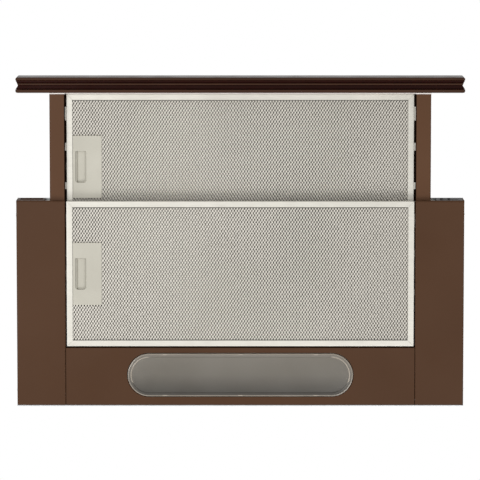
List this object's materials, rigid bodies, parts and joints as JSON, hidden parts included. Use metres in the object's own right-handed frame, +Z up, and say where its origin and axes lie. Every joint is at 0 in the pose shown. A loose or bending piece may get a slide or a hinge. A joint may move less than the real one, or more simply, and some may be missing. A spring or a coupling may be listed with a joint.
{
  "type": "slide-out range hood",
  "caption": "Slide-out range hood for a wall cabinet: a low brown box with a pull-out drawer, grease filters, a lamp lens, slider switches and a housed blower with a round duct outlet.",
  "frame": {"origin": "on the raised seat along the front of the deck plate, midway across, 20 mm behind the box's front edge", "axes": "+X to the right as seen from the front, +Y to the back, +Z up; the drawer pulls out towards -Y"},
  "size_m": [0.598, 0.4415, 0.2066],
  "materials": {
    "brown_paint": "brown baked enamel on sheet steel, satin",
    "brown_gloss": "glossy dark brown moulding",
    "galvanised_steel": "zinc-coated sheet, dull",
    "pale_aluminium": "satin folded strip",
    "mesh_aluminium": "layers of expanded mesh, satin",
    "handle_plastic": "fine-grained grey-beige",
    "black_plastic": "satin",
    "blower_plastic": "moulded",
    "nylon": "natural nylon",
    "lens_plastic": "frosted and ribbed",
    "bulb_glass": "frosted inside",
    "bright_steel": "ground",
    "white_enamel": "gloss white",
    "white_plastic": "heat-proof"
  },
  "bodies": {
    "casing": {"deck_plate": "galvanised_steel", "rear_wall": "galvanised_steel", "lamp_panel": "brown_paint", "lamp_tray": "white_enamel", "front_cap": "brown_paint", "control_panel": "black_plastic", "switch_block": "black_plastic", "microswitch": "black_plastic", "motor_housing": "galvanised_steel", "housing_frame": "galvanised_steel", "outlet_collar": "black_plastic", "flap_pin": "bright_steel", "scroll_shell": "blower_plastic", "scroll_cover": "blower_plastic", "motor_case": "galvanised_steel", "motor_bracket": "galvanised_steel", "capacitor": "white_plastic", "terminal_box": "white_plastic", "cable_gland": "black_plastic", "side_shell_left": "brown_paint", "side_shell_right": "brown_paint", "lamp_holder_left": "white_plastic", "lamp_holder_right": "white_plastic", "bulb_left": "bulb_glass", "bulb_right": "bulb_glass", "rail_guide_left": "nylon", "rail_guide_right": "nylon", "fixing_bracket_left": "galvanised_steel", "fixing_bracket_right": "galvanised_steel"},
    "drawer": {"front_trim": "brown_gloss", "drawer_front_bar": "pale_aluminium", "drawer_rail_left": "brown_paint", "drawer_rail_right": "brown_paint", "rail_glide_left": "nylon", "rail_glide_right": "nylon", "drawer_top_sheet": "brown_paint", "drawer_filter_frame": "pale_aluminium", "drawer_filter_mesh": "mesh_aluminium", "drawer_filter_handle": "handle_plastic"},
    "drawer_latch": {"drawer_filter_latch": "handle_plastic"},
    "fixed_filter": {"fixed_filter_frame": "pale_aluminium", "fixed_filter_mesh": "mesh_aluminium", "fixed_filter_handle": "handle_plastic"},
    "fixed_latch": {"fixed_filter_latch": "handle_plastic"},
    "lamp_lens": {"lens": "lens_plastic"},
    "light_switch": {"light_slider": "black_plastic"},
    "speed_switch": {"speed_slider": "black_plastic"},
    "fan": {"impeller": "blower_plastic", "motor_shaft": "bright_steel"},
    "front_flap": {"flap_front": "black_plastic"},
    "rear_flap": {"flap_rear": "black_plastic"}
  },
  "joints": [
    {"name": "drawer_slide", "type": "slide", "parent": "casing", "child": "drawer", "axis": [0, 1, 0], "range_m": [0, 0.1435]},
    {"name": "drawer_latch_slide", "type": "slide", "parent": "drawer", "child": "drawer_latch", "axis": [1, 0, 0], "range_m": [0, 0.0035], "stiffness_N_per_m": 400, "springref_m": -0.004},
    {"name": "fixed_filter_swing", "type": "hinge", "parent": "casing", "child": "fixed_filter", "pos_m": [0.2328, 0.0787, -0.0375], "axis": [0, -1, 0], "range_deg": [0, 80]},
    {"name": "fixed_latch_slide", "type": "slide", "parent": "fixed_filter", "child": "fixed_latch", "axis": [1, 0, 0], "range_m": [0, 0.0035], "stiffness_N_per_m": 400, "springref_m": -0.004},
    {"name": "lens_release", "type": "slide", "parent": "casing", "child": "lamp_lens", "axis": [0, 0, -1], "range_m": [0, 0.025]},
    {"name": "light_slide", "type": "slide", "parent": "casing", "child": "light_switch", "axis": [1, 0, 0], "range_m": [0, 0.005]},
    {"name": "speed_slide", "type": "slide", "parent": "casing", "child": "speed_switch", "axis": [1, 0, 0], "range_m": [0, 0.01]},
    {"name": "fan_spin", "type": "hinge", "parent": "casing", "child": "fan", "pos_m": [0, 0.088, 0.0735], "axis": [1, 0, 0], "continuous": true},
    {"name": "front_flap_swing", "type": "hinge", "parent": "casing", "child": "front_flap", "pos_m": [0, 0.135, 0.15], "axis": [-1, 0, 0], "range_deg": [0, 70]},
    {"name": "rear_flap_swing", "type": "hinge", "parent": "casing", "child": "rear_flap", "pos_m": [0, 0.135, 0.15], "axis": [1, 0, 0], "range_deg": [0, 70]}
  ]
}
